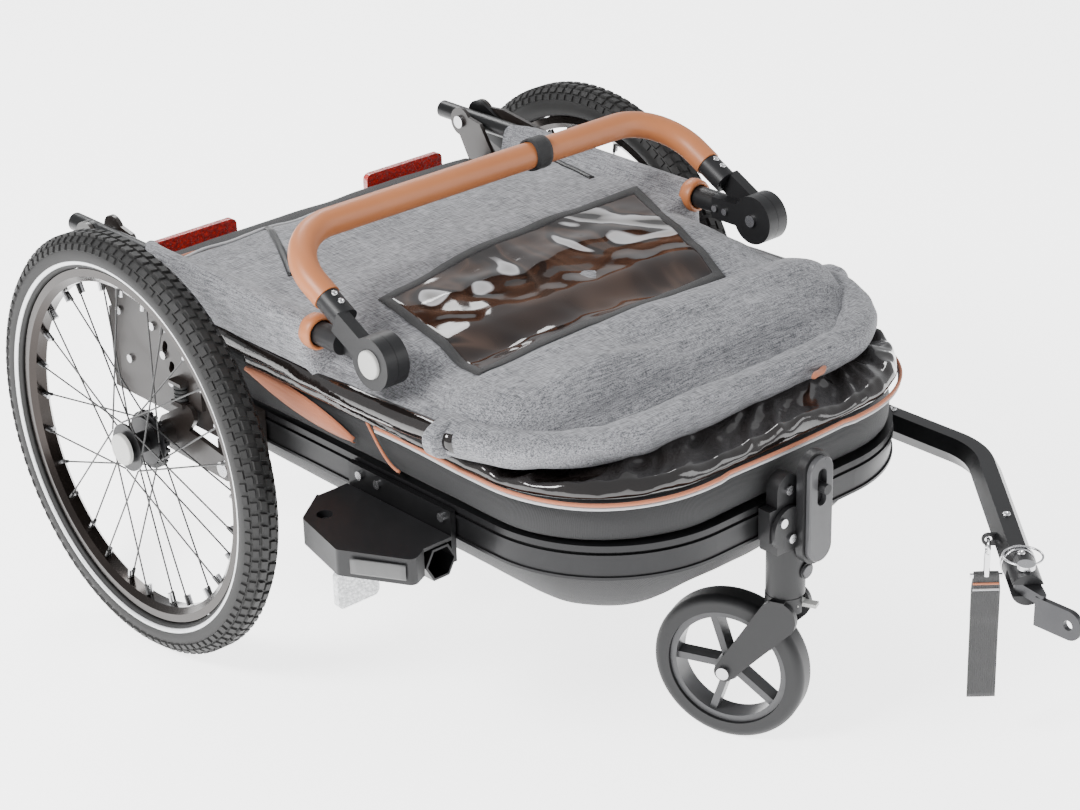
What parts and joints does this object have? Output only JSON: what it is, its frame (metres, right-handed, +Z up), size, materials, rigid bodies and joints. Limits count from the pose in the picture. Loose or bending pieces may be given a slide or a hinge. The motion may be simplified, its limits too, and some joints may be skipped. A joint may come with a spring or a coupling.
{
  "type": "bicycle_trailer",
  "caption": "Folded child bicycle trailer with spoked wheels, front caster, side drawbar with hitch, fabric canopy with window, tub, seat and tilting push handle",
  "frame": {"origin": "on the ground under the middle of the bounding box in plan; the wheel axle is at y = 0.366", "axes": "+X is the trailer's left, -Y its front (the drawbar and caster), +Z up; the trailer stands on its two wheels and the caster, folded flat"},
  "size_m": [0.7602, 1.232, 0.5456],
  "materials": {
    "black_anodised": "satin anodised",
    "bracket_paint": "satin paint",
    "black_plastic": "matt",
    "grey_plastic": "matt",
    "clear_reflector": "prismatic gloss",
    "red_reflector": "prismatic gloss",
    "screw_steel": "zinc plated",
    "chrome": "polished",
    "spoke_steel": "black coated",
    "rim_aluminium": "gloss anodised",
    "black_fabric": "coated weave",
    "grey_fabric": "melange weave",
    "glossy_pvc": "clear and black film, rolled",
    "tan_leatherette": "smooth",
    "tyre_rubber": "block tread",
    "caster_rubber": "smooth",
    "spring_rubber": "moulded"
  },
  "bodies": {
    "base": {"frame_rail": "black_anodised", "rear_crossbar": "black_anodised", "side_bracket_right": "bracket_paint", "side_bracket_left": "bracket_paint", "drawbar_socket_right": "black_anodised", "drawbar_socket_left": "black_anodised", "side_bumper_right": "black_plastic", "side_bumper_left": "black_plastic", "front_reflectors": "clear_reflector", "rear_reflectors": "red_reflector", "front_bracket": "black_plastic", "caster_stem": "black_plastic", "frame_fasteners": "screw_steel", "fabric_tub": "black_fabric", "side_band": "black_fabric", "rain_cover": "glossy_pvc", "rear_panel": "black_fabric", "seat_hammock": "grey_fabric", "spring_right": "spring_rubber", "spring_left": "spring_rubber"},
    "legs": {"leg_right": "black_anodised", "leg_left": "black_anodised", "leg_arm_right": "black_plastic", "leg_arm_left": "black_plastic", "knuckle_screws": "screw_steel", "canopy": "grey_fabric"},
    "bow": {"bow": "black_anodised"},
    "handle": {"handle_tube": "black_anodised", "handle_grip": "tan_leatherette", "handle_arm_right": "black_plastic", "handle_arm_left": "black_plastic"},
    "drawbar": {"drawbar": "black_anodised", "coupler": "black_plastic"},
    "tongue": {"hitch_tongue": "screw_steel"},
    "hitch_pin": {"hitch_pin": "screw_steel"},
    "strap": {"snap_hook": "chrome", "safety_strap": "black_fabric"},
    "caster_fork": {"caster_fork": "black_plastic", "caster_axle": "screw_steel"},
    "caster_wheel": {"caster_tyre": "caster_rubber", "caster_rim": "grey_plastic"},
    "swivel_lever": {"swivel_lever": "grey_plastic"},
    "stem_button": {"stem_button": "grey_plastic"},
    "release_plate": {"release_plate": "grey_plastic"},
    "swing_arm_right": {"swing_arm_right": "bracket_paint"},
    "axle_right": {"axle_right": "grey_plastic"},
    "wheel_right": {"tyre_right": "tyre_rubber", "rim_right": "rim_aluminium", "spokes_right": "spoke_steel", "hub_right": "black_anodised", "brake_ring_right": "black_plastic"},
    "fold_button_right": {"fold_button_right": "grey_plastic"},
    "swing_arm_left": {"swing_arm_left": "bracket_paint"},
    "axle_left": {"axle_left": "grey_plastic"},
    "wheel_left": {"tyre_left": "tyre_rubber", "rim_left": "rim_aluminium", "spokes_left": "spoke_steel", "hub_left": "black_anodised", "brake_ring_left": "black_plastic"},
    "fold_button_left": {"fold_button_left": "grey_plastic"}
  },
  "joints": [
    {"name": "leg_fold", "type": "hinge", "parent": "base", "child": "legs", "pos_m": [0, 0.514, 0.443], "axis": [-1, 0, 0], "range_deg": [0, 78]},
    {"name": "bow_fold", "type": "hinge", "parent": "legs", "child": "bow", "pos_m": [0, 0.514, 0.443], "axis": [-1, 0, 0], "range_deg": [-33.1, 0]},
    {"name": "handle_tilt", "type": "hinge", "parent": "legs", "child": "handle", "pos_m": [0, 0.006, 0.443], "axis": [1, 0, 0], "range_deg": [0, 150]},
    {"name": "drawbar_slide", "type": "slide", "parent": "base", "child": "drawbar", "axis": [0, -1, 0], "range_m": [0, 0.16]},
    {"name": "tongue_yaw", "type": "hinge", "parent": "drawbar", "child": "tongue", "pos_m": [0.0983, -0.5328, 0.247], "axis": [0, 0, 1], "range_deg": [-30, 30]},
    {"name": "pin_lift", "type": "slide", "parent": "drawbar", "child": "hitch_pin", "axis": [0, 0, 1], "range_m": [0, 0.06]},
    {"name": "strap_swing", "type": "hinge", "parent": "drawbar", "child": "strap", "pos_m": [0.14552, -0.44748, 0.247], "axis": [-0.6691, -0.7431, 0], "range_deg": [-50, 15]},
    {"name": "caster_swivel", "type": "hinge", "parent": "base", "child": "caster_fork", "pos_m": [0, -0.299, 0.185], "axis": [0, 0, 1], "continuous": true},
    {"name": "caster_spin", "type": "hinge", "parent": "caster_fork", "child": "caster_wheel", "pos_m": [-0.02241, -0.24464, 0.0854], "axis": [0.9245, 0.3811, 0], "continuous": true},
    {"name": "swivel_lever_tip", "type": "hinge", "parent": "caster_fork", "child": "swivel_lever", "pos_m": [0.00648, -0.31472, 0.175], "axis": [0.9245, 0.3811, 0], "range_deg": [0, 35]},
    {"name": "stem_button_press", "type": "slide", "parent": "base", "child": "stem_button", "axis": [0, 1, 0], "range_m": [0, 0.003], "stiffness_N_per_m": 500, "springref_m": -0.002},
    {"name": "release_slide", "type": "slide", "parent": "base", "child": "release_plate", "axis": [0, 0, 1], "range_m": [0, 0.012], "stiffness_N_per_m": 250, "springref_m": -0.004},
    {"name": "suspension_right", "type": "hinge", "parent": "base", "child": "swing_arm_right", "pos_m": [-0.308, 0.261, 0.24], "axis": [1, 0, 0], "range_deg": [0, 4], "stiffness_Nm_per_rad": 400, "springref_deg": -3.44, "deforming": ["spring_right"]},
    {"name": "wheel_spin_right", "type": "hinge", "parent": "swing_arm_right", "child": "wheel_right", "pos_m": [-0.3567, 0.366, 0.25], "axis": [1, 0, 0], "continuous": true},
    {"name": "axle_press_right", "type": "slide", "parent": "swing_arm_right", "child": "axle_right", "axis": [1, 0, 0], "range_m": [0, 0.003], "stiffness_N_per_m": 500, "springref_m": -0.002},
    {"name": "fold_button_press_right", "type": "slide", "parent": "handle", "child": "fold_button_right", "axis": [1, 0, 0], "range_m": [0, 0.003], "stiffness_N_per_m": 500, "springref_m": -0.002},
    {"name": "suspension_left", "type": "hinge", "parent": "base", "child": "swing_arm_left", "pos_m": [0.308, 0.261, 0.24], "axis": [1, 0, 0], "range_deg": [0, 4], "stiffness_Nm_per_rad": 400, "springref_deg": -3.44, "deforming": ["spring_left"]},
    {"name": "wheel_spin_left", "type": "hinge", "parent": "swing_arm_left", "child": "wheel_left", "pos_m": [0.3567, 0.366, 0.25], "axis": [1, 0, 0], "continuous": true},
    {"name": "axle_press_left", "type": "slide", "parent": "swing_arm_left", "child": "axle_left", "axis": [-1, 0, 0], "range_m": [0, 0.003], "stiffness_N_per_m": 500, "springref_m": -0.002},
    {"name": "fold_button_press_left", "type": "slide", "parent": "handle", "child": "fold_button_left", "axis": [-1, 0, 0], "range_m": [0, 0.003], "stiffness_N_per_m": 500, "springref_m": -0.002}
  ],
  "couplings": [
    {"joint": "bow_fold", "follows": "leg_fold", "ratio": -0.423}
  ]
}
